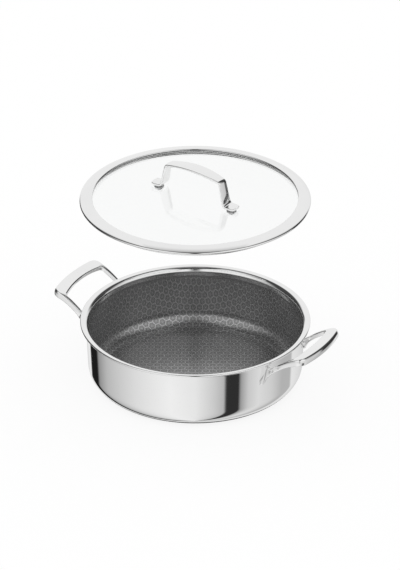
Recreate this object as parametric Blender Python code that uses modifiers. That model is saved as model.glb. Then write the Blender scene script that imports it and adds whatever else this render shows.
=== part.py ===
"""Pilaf pot with lid: a wide, low three-ply pot, two welded loop handles, and a framed glass lid.

Metres, +Z up. The origin is the centre of the pot's base, and +X runs through the side handles.
The lid is stored lifted straight up off the pot, and it seats on the flared rim when it comes down.
"""
import math

import bmesh
import bpy
from mathutils import Matrix, Vector

for leftover in list(bpy.data.objects):
    bpy.data.objects.remove(leftover)

# Gap between pieces that touch
GAP = 0.0003

# Pot body
POT_INNER_RADIUS = 0.1400
POT_HEIGHT = 0.0860
WALL_DRAFT_ANGLE = math.radians(2.4)
CORNER_RADIUS = 0.0210
LINER_THICKNESS = 0.0005
CORE_THICKNESS = 0.0014
OUTER_THICKNESS = 0.0005
POT_WALL = LINER_THICKNESS + CORE_THICKNESS + OUTER_THICKNESS + 2 * GAP
RIM_FLARE_RADIUS = 0.0070
RIM_FLARE_TURN = math.radians(80)
RIM_LIP_LENGTH = 0.0030

# Side handles
HANDLE_REACH = 0.0515
HANDLE_HALF_SPAN = 0.0510
HANDLE_CORNER_RADIUS = 0.0120
HANDLE_INNER_CORNER = 0.0050
GRIP_WIDTH = 0.0180
GRIP_OUTER_THICKNESS = 0.0100
GRIP_INNER_THICKNESS = 0.0035
GRIP_RISE = 0.0150
LEG_WIDTH = 0.0062
LEG_HEIGHT = 0.0080
FOOT_HEIGHT = 0.0275
FOOT_WIDTH = 0.0070
FOOT_FAN = 0.0055
FOOT_BELOW_FLARE = 0.0005
HANDLE_EDGE_RADIUS = 0.0014

# How the bar runs from foot to grip, as powers of the way along it
LEG_CURVE = 1.5
FOOT_FLARE = 6.0
FOOT_SWEEP = 3.0
GRIP_FADE = 2.0
LEG_SPACING = 1.3

# Lid, which stops short of the rim's edge
LID_INSET = 0.0018
LID_LIFT = 0.1750
LID_TURN = math.radians(-6)
RING_OVERLAP = 0.00425
RING_EDGE_DEPTH = 0.0026
RING_SHEET = 0.0007
RING_LIP_RADIUS = 0.0016
RING_HEM_WIDTH = 0.0018
RING_HEM_DROP = 0.0019
SKIRT_CLEARANCE = 0.0007
GLASS_THICKNESS = 0.0040
GLASS_DOME = 0.0032
GLASS_EDGE_HEIGHT = 0.0024
SEAL_THICKNESS = 0.0009

# Lid handle and its fasteners
LID_HANDLE_HALF_SPAN = 0.0430
LID_LEG_SPLAY = 0.0070
LID_HANDLE_HEIGHT = 0.0312
LID_HANDLE_ARCH = 0.0062
LID_HANDLE_WIDTH = 0.0190
LID_HANDLE_END_WIDTH = 0.0140
LID_HANDLE_SHEET = 0.0034
LID_FOOT_LENGTH = 0.0160
LID_FOOT_WIDTH = 0.0150
LID_FOOT_ROUND = 0.0045
LID_STRAP_EDGE = 0.0006
LID_BEND_RADIUS = 0.0050
SCREW_RADIUS = 0.0020
SCREW_HEAD_RADIUS = 0.0044
SCREW_HEAD_SIDE = 0.0008
SCREW_HEAD_CROWN = 0.0016
STEEL_OVER_SCREW = 0.0006
WASHER_RADIUS = 0.0058
WASHER_THICKNESS = 0.0008
GASKET_RADIUS = 0.0066
GASKET_THICKNESS = 0.0010
HOLE_CLEARANCE = 0.0004

# Roundness of turned pieces
TURNED_STEPS = 48
SMALL_STEPS = 16
CORNER_STEPS = 5
FLARE_STEPS = 3
BEAD_STEPS = 4
LEG_STEPS = 9
BEND_STEPS = 4
GRIP_STEPS = 4
ROLL_STEPS = 4
HEM_STEPS = 3
GLASS_STEPS = 5
ARCH_STEPS = 4
TIP_STEPS = 2
CROWN_STEPS = 2

parts = bpy.data.collections.new("pilaf_pot")
cutters = bpy.data.collections.new("cutters")
for group in (parts, cutters):
    bpy.context.scene.collection.children.link(group)
cutters.hide_render = True


# Materials and objects

def make_material(name, color, roughness, metallic=0.0, transmission=0.0):
    material = bpy.data.materials.new(name)
    material.use_nodes = True
    shader = material.node_tree.nodes["Principled BSDF"]
    shader.inputs["Base Color"].default_value = (*color, 1.0)
    shader.inputs["Roughness"].default_value = roughness
    shader.inputs["Metallic"].default_value = metallic
    shader.inputs["Transmission Weight"].default_value = transmission
    return material


def add_object(name, mesh, material, collection=parts):
    obj = bpy.data.objects.new(name, mesh)
    collection.objects.link(obj)
    if material:
        mesh.materials.append(material)
    return obj


# Modelling helpers

def turned(name, profile, material, closed=False, steps=TURNED_STEPS, collection=parts):
    """Spins a profile of (radius, height) points, which runs down its outer side, about Z."""
    mesh = bpy.data.meshes.new(name)
    count = len(profile)
    edges = [(i, i + 1) for i in range(count - 1)]
    if closed:
        edges.append((count - 1, 0))
    mesh.from_pydata([(radius, 0, height) for radius, height in profile], edges, [])
    obj = add_object(name, mesh, material, collection)
    screw = obj.modifiers.new("turn", "SCREW")
    screw.steps = screw.render_steps = steps
    screw.use_merge_vertices = True
    screw.merge_threshold = 0.00005
    screw.use_smooth_shade = True
    return obj


def offset_points(stations, distance):
    """Moves each (point, normal) station along its normal."""
    return [
        (point[0] + distance * normal[0], point[1] + distance * normal[1])
        for point, normal in stations
    ]


def thickened(path, thickness):
    """Closed outline of a bent sheet whose centre line is the path, with mitred corners."""
    left, right = [], []
    for i, point in enumerate(path):
        before = Vector(path[max(i - 1, 0)])
        after = Vector(path[min(i + 1, len(path) - 1)])
        here = Vector(point)
        into = (here - before).normalized() if i else (after - here).normalized()
        out = (after - here).normalized() if i < len(path) - 1 else into
        normal_in = Vector((-into.y, into.x))
        normal = (normal_in + Vector((-out.y, out.x))).normalized()
        reach = thickness / 2 / max(normal.dot(normal_in), 0.5)
        left.append(tuple(here + normal * reach))
        right.append(tuple(here - normal * reach))
    return left + right[::-1]


def loft(name, rings, material):
    """Closed skin over rings of equal point counts, with flat ends."""
    bm = bmesh.new()
    loops = [[bm.verts.new(point) for point in ring] for ring in rings]
    size = len(loops[0])
    for near, far in zip(loops, loops[1:]):
        for i in range(size):
            bm.faces.new((near[i], near[(i + 1) % size], far[(i + 1) % size], far[i]))
    bm.faces.new(loops[0][::-1])
    bm.faces.new(loops[-1])
    bmesh.ops.recalc_face_normals(bm, faces=bm.faces)
    mesh = bpy.data.meshes.new(name)
    bm.to_mesh(mesh)
    bm.free()
    mesh.shade_smooth()
    mesh.set_sharp_from_angle(angle=math.radians(35))
    return add_object(name, mesh, material)


def cut(target, cutter):
    """Takes the cutter out of the target."""
    cutter.hide_render = True
    cutter.display_type = "WIRE"
    boolean = target.modifiers.new("cut", "BOOLEAN")
    boolean.operation = "DIFFERENCE"
    boolean.solver = "EXACT"
    boolean.object = cutter


def arc(centre, radius, start, end, steps):
    """Points on an arc, both ends included."""
    angles = [start + (end - start) * i / steps for i in range(steps + 1)]
    return [(centre[0] + radius * math.cos(a), centre[1] + radius * math.sin(a)) for a in angles]


# Pot wall: one inner face, from which every layer is offset outwards

DRAFT_COS, DRAFT_SIN = math.cos(WALL_DRAFT_ANGLE), math.sin(WALL_DRAFT_ANGLE)
LIP_COS, LIP_SIN = math.cos(RIM_FLARE_TURN), math.sin(RIM_FLARE_TURN)
FLARE_END_RADIUS = POT_INNER_RADIUS + RIM_FLARE_RADIUS * (DRAFT_COS - LIP_COS)
LIP_END_RADIUS = FLARE_END_RADIUS + RIM_LIP_LENGTH * LIP_SIN
BEAD_CENTRE_RADIUS = LIP_END_RADIUS + POT_WALL / 2 * LIP_COS
BEAD_CENTRE_HEIGHT = POT_HEIGHT - POT_WALL / 2
RIM_RADIUS = BEAD_CENTRE_RADIUS + POT_WALL / 2
LIP_END_HEIGHT = BEAD_CENTRE_HEIGHT + POT_WALL / 2 * LIP_SIN
FLARE_RISE = RIM_FLARE_RADIUS * (LIP_SIN - DRAFT_SIN)
FLARE_HEIGHT = LIP_END_HEIGHT - RIM_LIP_LENGTH * LIP_COS - FLARE_RISE


def outer_wall_radius(height):
    """Radius of the outside of the drafted wall at a height."""
    inner = POT_INNER_RADIUS - (FLARE_HEIGHT - height) * math.tan(WALL_DRAFT_ANGLE)
    return inner + POT_WALL / DRAFT_COS


def lip_height(radius):
    """Height of the top of the straight lip at a radius."""
    return LIP_END_HEIGHT - (LIP_END_RADIUS - radius) * LIP_COS / LIP_SIN


def wall_stations(lip_cut=0.0):
    """(point, outward normal) pairs of the inner face, from the floor's centre to the lip's end."""
    corner_height = POT_WALL + CORNER_RADIUS
    wall_foot_height = corner_height - CORNER_RADIUS * DRAFT_SIN
    wall_foot_radius = outer_wall_radius(wall_foot_height) - POT_WALL / DRAFT_COS
    corner_centre = (wall_foot_radius - CORNER_RADIUS * DRAFT_COS, corner_height)
    stations = [((0.0, POT_WALL), (0.0, -1.0))]
    for i in range(CORNER_STEPS + 1):
        angle = -math.pi / 2 + (math.pi / 2 - WALL_DRAFT_ANGLE) * i / CORNER_STEPS
        normal = (math.cos(angle), math.sin(angle))
        point = (
            corner_centre[0] + CORNER_RADIUS * normal[0],
            corner_centre[1] + CORNER_RADIUS * normal[1],
        )
        stations.append((point, normal))
    flare_centre = (
        POT_INNER_RADIUS + RIM_FLARE_RADIUS * DRAFT_COS,
        FLARE_HEIGHT - RIM_FLARE_RADIUS * DRAFT_SIN,
    )
    for i in range(FLARE_STEPS + 1):
        lean = WALL_DRAFT_ANGLE + (RIM_FLARE_TURN - WALL_DRAFT_ANGLE) * i / FLARE_STEPS
        normal = (math.cos(lean), -math.sin(lean))
        point = (
            flare_centre[0] - RIM_FLARE_RADIUS * normal[0],
            flare_centre[1] - RIM_FLARE_RADIUS * normal[1],
        )
        stations.append((point, normal))
    (radius, height), normal = stations[-1]
    run = RIM_LIP_LENGTH - lip_cut
    stations.append(((radius + run * LIP_SIN, height + run * LIP_COS), normal))
    return stations


def pot_layer(name, near, far, material):
    """One layer of the wall, between two distances from the inner face."""
    stations = wall_stations(lip_cut=GAP)
    profile = offset_points(stations, near) + offset_points(stations, far)[::-1]
    return turned(name, profile, material)


def pot_liner(name, material):
    """Inner layer, whose round bead closes the rim over the edges of the other two."""
    stations = wall_stations()
    bead = arc(
        (BEAD_CENTRE_RADIUS, BEAD_CENTRE_HEIGHT),
        POT_WALL / 2,
        math.pi - RIM_FLARE_TURN,
        -RIM_FLARE_TURN,
        BEAD_STEPS,
    )
    profile = offset_points(stations, 0.0) + bead[1:]
    profile += offset_points(stations, LINER_THICKNESS)[::-1]
    return turned(name, profile, material)


# Side handles: a loop outline in plan, bent to a swan-neck in side view

GRIP_OUTER_RADIUS = outer_wall_radius(FLARE_HEIGHT) + HANDLE_REACH
GRIP_INNER_RADIUS = GRIP_OUTER_RADIUS - GRIP_WIDTH
GRIP_CENTRE_HEIGHT = POT_HEIGHT + GRIP_RISE - GRIP_OUTER_THICKNESS / 2
FOOT_CENTRE_HEIGHT = FLARE_HEIGHT - FOOT_BELOW_FLARE - FOOT_HEIGHT / 2


def wall_x(y, height=FOOT_CENTRE_HEIGHT):
    """Where the outside of the wall stands along X, at a distance to the side."""
    return math.sqrt((outer_wall_radius(height) + GAP) ** 2 - y**2)


NECK_START = wall_x(HANDLE_HALF_SPAN)
NECK_END = GRIP_INNER_RADIUS + GRIP_WIDTH / 2


def neck(x):
    """How far along the neck a point is, from 0 at the wall to 1 at the grip."""
    return min(max((x - NECK_START) / (NECK_END - NECK_START), 0.0), 1.0)


def handle_height(x):
    fall = (1 - neck(x)) ** LEG_CURVE
    return GRIP_CENTRE_HEIGHT + (FOOT_CENTRE_HEIGHT - GRIP_CENTRE_HEIGHT) * fall


def handle_depth(x, share=1.0):
    """Height of the bar, from its inner side (share 0) to its outer side: the grip is a wedge."""
    along = neck(x)
    grip = GRIP_INNER_THICKNESS + (GRIP_OUTER_THICKNESS - GRIP_INNER_THICKNESS) * share
    bar = LEG_HEIGHT + (grip - LEG_HEIGHT) * along**GRIP_FADE
    return bar + (FOOT_HEIGHT - LEG_HEIGHT) * (1 - along) ** FOOT_FLARE


def corner_of(grip_radius, half_span, corner_radius):
    """Centre of the corner that joins the leg's straight side to the grip's arc."""
    y = half_span - corner_radius
    return math.sqrt((grip_radius - corner_radius) ** 2 - y**2), y


def handle_rails():
    """(outer, inner) pairs of plan points, from one foot to the middle of the grip."""
    outer_corner = corner_of(GRIP_OUTER_RADIUS, HANDLE_HALF_SPAN, HANDLE_CORNER_RADIUS)
    inner_span = HANDLE_HALF_SPAN - LEG_WIDTH
    inner_corner = corner_of(GRIP_INNER_RADIUS, inner_span, HANDLE_INNER_CORNER)
    inner_start = wall_x(inner_span)
    rails = []
    for i in range(LEG_STEPS):
        along = (i / LEG_STEPS) ** LEG_SPACING
        spread = (FOOT_WIDTH - LEG_WIDTH) * (1 - along) ** FOOT_FLARE
        outer_x = NECK_START + (outer_corner[0] - NECK_START) * along
        inner_x = inner_start + (inner_corner[0] - inner_start) * along
        rails.append(((outer_x, HANDLE_HALF_SPAN + spread / 2), (inner_x, inner_span - spread / 2)))
    outer_end = math.atan2(outer_corner[1], outer_corner[0])
    inner_end = math.atan2(inner_corner[1], inner_corner[0])
    outer_arc = arc(outer_corner, HANDLE_CORNER_RADIUS, math.pi / 2, outer_end, BEND_STEPS)
    inner_arc = arc(inner_corner, HANDLE_INNER_CORNER, math.pi / 2, inner_end, BEND_STEPS)
    rails += list(zip(outer_arc, inner_arc))
    outer_grip = arc((0, 0), GRIP_OUTER_RADIUS, outer_end, 0, GRIP_STEPS)
    inner_grip = arc((0, 0), GRIP_INNER_RADIUS, inner_end, 0, GRIP_STEPS)
    return rails + list(zip(outer_grip, inner_grip))[1:]


def bar_ring(outer, inner, side):
    """Section of the handle between an outer and an inner plan point, with rounded edges.

    Near the wall the section fans out downwards, so that the foot is widest at its lower end.
    """
    outer, inner = Vector(outer), Vector(inner)
    fan = FOOT_FAN * (1 - neck(outer.x)) ** FOOT_SWEEP
    across = (outer - inner).length
    edge = HANDLE_EDGE_RADIUS
    soft = edge * (1 - math.sqrt(0.5))
    ring = []
    for end, top in ((0, 1), (1, 1), (1, -1), (0, -1)):
        corner = [(0.0, edge), (soft, soft), (edge, 0.0)]
        if (end, top) in ((1, 1), (0, -1)):
            corner.reverse()
        for inset, drop in corner:
            share = inset / across if end == 0 else 1 - inset / across
            plan = inner.lerp(outer, share)
            height = handle_height(plan.x) + handle_depth(plan.x) / 2
            height -= drop if top > 0 else handle_depth(plan.x, share) - drop
            low = share if top < 0 else 0.0
            ring.append(Vector((plan.x, (plan.y + fan * low) * side, height)))
    return ring


def against_wall(ring):
    """Moves a ring's points along X until they stand one gap off the pot's wall."""
    return [Vector((wall_x(point.y, point.z), point.y, point.z)) for point in ring]


def side_handle(name, turn, material):
    half = handle_rails()
    rings = [bar_ring(outer, inner, 1) for outer, inner in half]
    rings += [bar_ring(outer, inner, -1) for outer, inner in half[-2::-1]]
    rings[0] = against_wall(rings[0])
    rings[-1] = against_wall(rings[-1])
    obj = loft(name, rings, material)
    obj.data.transform(Matrix.Rotation(turn, 4, "Z"))
    return obj


# Lid: its own heights are counted from the underside of the ring's outer roll, where its empty is

LID_RADIUS = RIM_RADIUS - LID_INSET
LID_SEAT_RADIUS = LID_RADIUS - RING_LIP_RADIUS
LID_SEAT_HEIGHT = (
    lip_height(LID_SEAT_RADIUS) + (RING_LIP_RADIUS + GAP) / LIP_SIN - RING_LIP_RADIUS
)
LID_BASE = LID_SEAT_HEIGHT + LID_LIFT
SKIRT_RADIUS = POT_INNER_RADIUS - SKIRT_CLEARANCE - RING_SHEET / 2
SEAL_RADIUS = SKIRT_RADIUS - RING_SHEET / 2 - GAP
GLASS_RADIUS = SEAL_RADIUS - SEAL_THICKNESS - GAP
RING_INNER_RADIUS = GLASS_RADIUS - RING_OVERLAP


def glass_top(radius):
    """Height of the glass's upper face, a shallow dome."""
    return GLASS_EDGE_HEIGHT + GLASS_DOME * (1 - (radius / GLASS_RADIUS) ** 2)


def lid_glass(name, material):
    radii = [GLASS_RADIUS * i / GLASS_STEPS for i in range(GLASS_STEPS + 1)]
    top = [(radius, glass_top(radius)) for radius in radii]
    bottom = [(radius, height - GLASS_THICKNESS) for radius, height in top]
    return turned(name, top + bottom[::-1], material)


def lid_ring(name, material):
    """Rolled steel frame: turned-down inner edge, sloping band, outer roll, skirt, hem and ledge."""
    roll_radius = RING_LIP_RADIUS - RING_SHEET / 2
    edge_foot = glass_top(RING_INNER_RADIUS) + GAP
    band_top = edge_foot + RING_EDGE_DEPTH
    hem_radius = RING_HEM_WIDTH / 2
    ledge_radius = SKIRT_RADIUS - RING_HEM_WIDTH
    seal_foot = glass_top(ledge_radius) - GLASS_THICKNESS - 2 * GAP - SEAL_THICKNESS
    ledge_height = seal_foot - RING_SHEET / 2
    hem_centre = (SKIRT_RADIUS - hem_radius, ledge_height - RING_HEM_DROP)
    path = [
        (RING_INNER_RADIUS, edge_foot),
        (RING_INNER_RADIUS, band_top - RING_SHEET / 2),
        (RING_INNER_RADIUS + RING_SHEET / 2, band_top),
    ]
    roll_centre = (LID_SEAT_RADIUS, RING_LIP_RADIUS)
    path += arc(roll_centre, roll_radius, math.pi / 2, -math.pi / 2, ROLL_STEPS)
    path.append((SKIRT_RADIUS, RING_SHEET / 2))
    path += arc(hem_centre, hem_radius, 0, -math.pi, HEM_STEPS)
    path += [(ledge_radius, ledge_height), (RING_INNER_RADIUS, ledge_height)]
    return turned(name, thickened(path, RING_SHEET), material, closed=True)


def lid_seal(name, material):
    """Silicone channel round the edge of the glass."""
    inside = RING_INNER_RADIUS + RING_SHEET / 2 + 2 * GAP
    web = GLASS_RADIUS + GAP
    upper_in, upper_out = glass_top(inside) + GAP, glass_top(web) + GAP
    drop = GLASS_THICKNESS + 2 * GAP
    profile = [
        (inside, upper_in),
        (inside, upper_in + SEAL_THICKNESS),
        (SEAL_RADIUS, upper_out + SEAL_THICKNESS),
        (SEAL_RADIUS, upper_out - drop - SEAL_THICKNESS),
        (inside, upper_in - drop - SEAL_THICKNESS),
        (inside, upper_in - drop),
        (web, upper_out - drop),
        (web, upper_out),
    ]
    return turned(name, profile, material, closed=True)


# Lid handle and the stack of fasteners under each foot

LID_HEEL_X = LID_HANDLE_HALF_SPAN + LID_LEG_SPLAY
LID_TIP_X = LID_HEEL_X + LID_FOOT_LENGTH
SCREW_X = LID_HEEL_X + LID_FOOT_LENGTH / 2
STACK_TILT = math.atan(2 * GLASS_DOME * SCREW_X / GLASS_RADIUS**2)
FOOT_UNDERSIDE = 2 * GAP + GASKET_THICKNESS
SCREW_HOLE_END = FOOT_UNDERSIDE + LID_HANDLE_SHEET - STEEL_OVER_SCREW


def stack_place(side):
    """Matrix that stands a fastener on the glass's upper face, square to it, on one side."""
    place = Matrix.Translation((side * SCREW_X, 0, glass_top(SCREW_X)))
    return place @ Matrix.Rotation(side * STACK_TILT, 4, "Y")


def fillet(before, corner, after, radius, steps):
    """Points of a round corner between two straight runs."""
    corner, into, out = Vector(corner), Vector(before), Vector(after)
    into, out = (into - corner).normalized(), (out - corner).normalized()
    half = into.angle(out) / 2
    centre = corner + (into + out).normalized() * radius / math.sin(half)
    start = corner + into * radius / math.tan(half)
    sweep = (math.pi - 2 * half) * (1 if into.cross(out) < 0 else -1)
    spoke = start - centre
    points = []
    for i in range(steps + 1):
        turn = sweep * i / steps
        cos, sin = math.cos(turn), math.sin(turn)
        points.append((
            centre.x + spoke.x * cos - spoke.y * sin,
            centre.y + spoke.x * sin + spoke.y * cos,
        ))
    return points


def strap_path():
    """(x, z) centre line of the lid handle, from the tip of one foot to the middle of the top."""
    lift = FOOT_UNDERSIDE + LID_HANDLE_SHEET / 2
    seat = (
        SCREW_X + lift * math.sin(STACK_TILT),
        glass_top(SCREW_X) + lift * math.cos(STACK_TILT),
    )

    def foot_at(x):
        return x, seat[1] - (x - seat[0]) * math.tan(STACK_TILT)

    tip, heel = foot_at(LID_TIP_X), foot_at(LID_HEEL_X)
    shoulder = (LID_HANDLE_HALF_SPAN, heel[1] + LID_HANDLE_HEIGHT)
    middle = (0.0, shoulder[1] + LID_HANDLE_ARCH)
    arch = [
        (shoulder[0] * (1 - i / ARCH_STEPS), middle[1] - LID_HANDLE_ARCH * (1 - i / ARCH_STEPS) ** 2)
        for i in range(ARCH_STEPS + 1)
    ]
    path = []
    for i in range(TIP_STEPS + 1):
        inset = LID_FOOT_ROUND * (1 - math.cos(math.pi / 2 * i / TIP_STEPS))
        path.append(foot_at(LID_TIP_X - inset))
    path += fillet(tip, heel, shoulder, LID_BEND_RADIUS, BEND_STEPS)
    path += fillet(heel, shoulder, arch[1], LID_BEND_RADIUS, BEND_STEPS)
    return path + arch[1:]


def strap_width(x):
    """Width of the strap: round-cornered feet, narrow shoulders, widest on the top's middle."""
    if x < LID_HANDLE_HALF_SPAN:
        share = 1 - (x / LID_HANDLE_HALF_SPAN) ** 2
        return LID_HANDLE_END_WIDTH + (LID_HANDLE_WIDTH - LID_HANDLE_END_WIDTH) * share
    share = min((x - LID_HANDLE_HALF_SPAN) / LID_LEG_SPLAY, 1.0)
    width = LID_HANDLE_END_WIDTH + (LID_FOOT_WIDTH - LID_HANDLE_END_WIDTH) * share
    past = max(x - (LID_TIP_X - LID_FOOT_ROUND), 0.0)
    return width - 2 * (LID_FOOT_ROUND - math.sqrt(max(LID_FOOT_ROUND**2 - past**2, 0.0)))


def lid_handle(name, material):
    path = strap_path()
    centres = path + [(-x, z) for x, z in path[-2::-1]]
    count = len(centres)
    rings = []
    for i, (x, z) in enumerate(centres):
        ahead = Vector(centres[min(i + 1, count - 1)]) - Vector(centres[max(i - 1, 0)])
        normal = Vector((-ahead.y, ahead.x)).normalized() * -1
        half, thick, edge = strap_width(abs(x)) / 2, LID_HANDLE_SHEET / 2, LID_STRAP_EDGE
        outline = [
            (half - edge, thick), (half, thick - edge), (half, edge - thick), (half - edge, -thick),
            (edge - half, -thick), (-half, edge - thick), (-half, thick - edge), (edge - half, thick),
        ]
        rings.append([(x + normal.x * up, y, z + normal.y * up) for y, up in outline])
    return loft(name, rings, material)


def round_piece(name, radius, bottom, top, side, material, collection=parts, bore=0.0):
    """Disc or sleeve between two heights of the stack."""
    if bore:
        profile = [(bore, bottom), (bore, top), (radius, top), (radius, bottom)]
    else:
        profile = [(0.0, top), (radius, top), (radius, bottom), (0.0, bottom)]
    obj = turned(name, profile, material, bool(bore), SMALL_STEPS, collection)
    obj.matrix_basis = stack_place(side)
    return obj


def screw_holes(pane, handle, side, word):
    """Takes the screw's holes out of the glass and the handle's foot."""
    through = round_piece(f"lid_glass_hole_{word}", SCREW_RADIUS + 2 * HOLE_CLEARANCE,
                          -2 * GLASS_THICKNESS, GLASS_THICKNESS, side, None, cutters)
    cut(pane, through)
    blind = round_piece(f"lid_foot_hole_{word}", SCREW_RADIUS + GAP,
                        FOOT_UNDERSIDE - LID_HANDLE_SHEET, SCREW_HOLE_END, side, None, cutters)
    cut(handle, blind)


def fasteners(side, word, steel, silicone):
    """Gaskets above and below the glass, a washer, and the screw that holds the foot."""
    bore = SCREW_RADIUS + HOLE_CLEARANCE
    upper = GAP
    round_piece(f"lid_upper_gasket_{word}", GASKET_RADIUS, upper, upper + GASKET_THICKNESS,
                side, silicone, bore=bore)
    lower = -GLASS_THICKNESS - GAP
    round_piece(f"lid_lower_gasket_{word}", GASKET_RADIUS, lower - GASKET_THICKNESS, lower,
                side, silicone, bore=bore)
    washer = lower - GASKET_THICKNESS - GAP
    round_piece(f"lid_washer_{word}", WASHER_RADIUS, washer - WASHER_THICKNESS, washer,
                side, steel, bore=bore)
    head = washer - WASHER_THICKNESS - GAP
    tip = SCREW_HOLE_END - GAP
    profile = [(0.0, tip), (SCREW_RADIUS, tip), (SCREW_RADIUS, head), (SCREW_HEAD_RADIUS, head)]
    for i in range(CROWN_STEPS + 1):
        angle = math.pi / 2 * i / CROWN_STEPS
        drop = SCREW_HEAD_SIDE + SCREW_HEAD_CROWN * math.sin(angle)
        profile.append((SCREW_HEAD_RADIUS * math.cos(angle), head - drop))
    screw = turned(f"lid_screw_{word}", profile, steel, steps=SMALL_STEPS)
    screw.matrix_basis = stack_place(side)


def hang_the_lid():
    """Parents every piece of the lid to an empty on the pot's axis, which lifts it straight up.

    The loose lid is also a little turned on that axis, as a hand leaves it.
    """
    lift = bpy.data.objects.new("lift", None)
    lift.location.z = LID_BASE
    lift.rotation_euler.z = LID_TURN
    for piece in [*parts.objects, *cutters.objects]:
        if piece.name.startswith("lid_"):
            piece.parent = lift
    parts.objects.link(lift)


def main():
    polished = make_material("polished_steel", (0.80, 0.80, 0.80), 0.06, metallic=1.0)
    fastener_steel = make_material("fastener_steel", (0.62, 0.62, 0.63), 0.25, metallic=1.0)
    aluminium = make_material("aluminium", (0.76, 0.77, 0.78), 0.35, metallic=1.0)
    coated = make_material("coated_steel", (0.09, 0.09, 0.09), 0.38, metallic=0.6)
    glass = make_material("clear_glass", (0.97, 0.99, 0.98), 0.02, transmission=1.0)
    silicone = make_material("silicone", (0.55, 0.55, 0.55), 0.55)

    core_near = LINER_THICKNESS + GAP
    outer_near = core_near + CORE_THICKNESS + GAP
    pot_layer("pot_outer_shell", outer_near, outer_near + OUTER_THICKNESS, polished)
    pot_layer("pot_aluminium_core", core_near, core_near + CORE_THICKNESS, aluminium)
    pot_liner("pot_inner_liner", coated)
    side_handle("side_handle_right", 0.0, polished)
    side_handle("side_handle_left", math.pi, polished)

    pane = lid_glass("lid_glass", glass)
    lid_ring("lid_rim_ring", polished)
    lid_seal("lid_glass_seal", silicone)
    handle = lid_handle("lid_handle", polished)
    for side, word in ((-1, "left"), (1, "right")):
        screw_holes(pane, handle, side, word)
        fasteners(side, word, fastener_steel, silicone)
    hang_the_lid()


main()
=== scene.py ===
# %% [markdown]
# # A pilaf pot with its lid lifted off
#
# The pot is a wide, low pan of clad steel with a flared pouring rim, two welded loop handles and a
# dark honeycomb coating inside. Its lid is a shallow glass dome in a wide polished steel ring, with
# a bent steel strap for a handle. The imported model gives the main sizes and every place. This
# lesson gives each piece its fine surface and its finish.

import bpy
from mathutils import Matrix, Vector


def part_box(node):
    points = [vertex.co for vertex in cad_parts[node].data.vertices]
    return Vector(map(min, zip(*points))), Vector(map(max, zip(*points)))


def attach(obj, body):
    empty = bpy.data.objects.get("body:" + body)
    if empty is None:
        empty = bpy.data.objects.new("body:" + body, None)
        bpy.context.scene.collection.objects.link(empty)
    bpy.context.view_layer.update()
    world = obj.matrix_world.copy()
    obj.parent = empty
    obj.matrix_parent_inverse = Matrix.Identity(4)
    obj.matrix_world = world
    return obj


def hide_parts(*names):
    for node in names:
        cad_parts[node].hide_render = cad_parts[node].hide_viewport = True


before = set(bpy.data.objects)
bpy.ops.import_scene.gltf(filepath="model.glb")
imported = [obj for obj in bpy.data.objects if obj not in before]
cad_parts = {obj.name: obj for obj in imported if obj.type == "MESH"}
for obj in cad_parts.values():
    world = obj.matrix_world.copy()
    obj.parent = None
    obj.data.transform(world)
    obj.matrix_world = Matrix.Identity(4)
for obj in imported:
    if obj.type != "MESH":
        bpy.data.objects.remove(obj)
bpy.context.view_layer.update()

# %% [markdown]
# Everything is in metres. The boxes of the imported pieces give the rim, the handles and the lid
# their places.

# %% Sizes of the rim
import math

import bmesh
import bpy
from mathutils import Matrix, Vector

GAP = 0.0003
liner_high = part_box("pot_inner_liner")[1]
POT_HEIGHT = liner_high.z
RIM_RADIUS = liner_high.x
print("rim radius", round(RIM_RADIUS, 4), "pot height", round(POT_HEIGHT, 4))

# %% [markdown]
# ## The camera
#
# The photograph is taken with a long lens, a little under 29 degrees above the table, with the
# handles turned 30.5 degrees out of the picture's plane. The camera is placed by the three axes of
# its view, counted from the centre of the pot's rim.

# %% Place the camera
VIEW_AZIMUTH = math.radians(30.5)
VIEW_ELEVATION = math.radians(28.72)
VIEW_DISTANCE = 6.0
VIEW_SHIFT_RIGHT = 0.00617
VIEW_SHIFT_UP = 0.04412
CLIP_RANGE = (0.1, 200.0)
PIXELS_PER_METRE = 765.5
PICTURE_HEIGHT = 570
SENSOR = 36.0

view_back = Vector((
    math.sin(VIEW_AZIMUTH) * math.cos(VIEW_ELEVATION),
    -math.cos(VIEW_AZIMUTH) * math.cos(VIEW_ELEVATION),
    math.sin(VIEW_ELEVATION),
))
view_right = Vector((math.cos(VIEW_AZIMUTH), math.sin(VIEW_AZIMUTH), 0.0))
view_up = view_back.cross(view_right)
camera = bpy.data.objects.new("camera", bpy.data.cameras.new("camera"))
bpy.context.scene.collection.objects.link(camera)
camera.data.lens = PIXELS_PER_METRE * VIEW_DISTANCE / PICTURE_HEIGHT * SENSOR
camera.data.sensor_width = SENSOR
camera.data.clip_start, camera.data.clip_end = CLIP_RANGE
camera.matrix_world = Matrix.Translation(
    Vector((0.0, 0.0, POT_HEIGHT)) + view_right * VIEW_SHIFT_RIGHT
    + view_up * VIEW_SHIFT_UP + view_back * VIEW_DISTANCE
) @ Matrix((view_right, view_up, view_back)).transposed().to_4x4()
bpy.context.scene.camera = camera
bpy.context.scene.view_settings.view_transform = "Standard"
print("camera lens", round(camera.data.lens, 1), "mm at", VIEW_DISTANCE, "m")

# %% [markdown]
# ## Small tools for materials
#
# Every finish is a Principled shader with a few texture nodes. These helpers keep the node lists
# short: sums, a smooth ramp, a mix of two colours, a noise that follows the piece, and a bump.

# %% Node helpers
def add_node(tree, kind, values=None, **settings):
    """Adds a shader node, with values for its sockets by name or number."""
    node = tree.nodes.new("ShaderNode" + kind)
    for key, value in settings.items():
        setattr(node, key, value)
    for key, value in (values or {}).items():
        if isinstance(value, bpy.types.NodeSocket):
            tree.links.new(value, node.inputs[key])
        else:
            node.inputs[key].default_value = value
    return node


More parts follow.
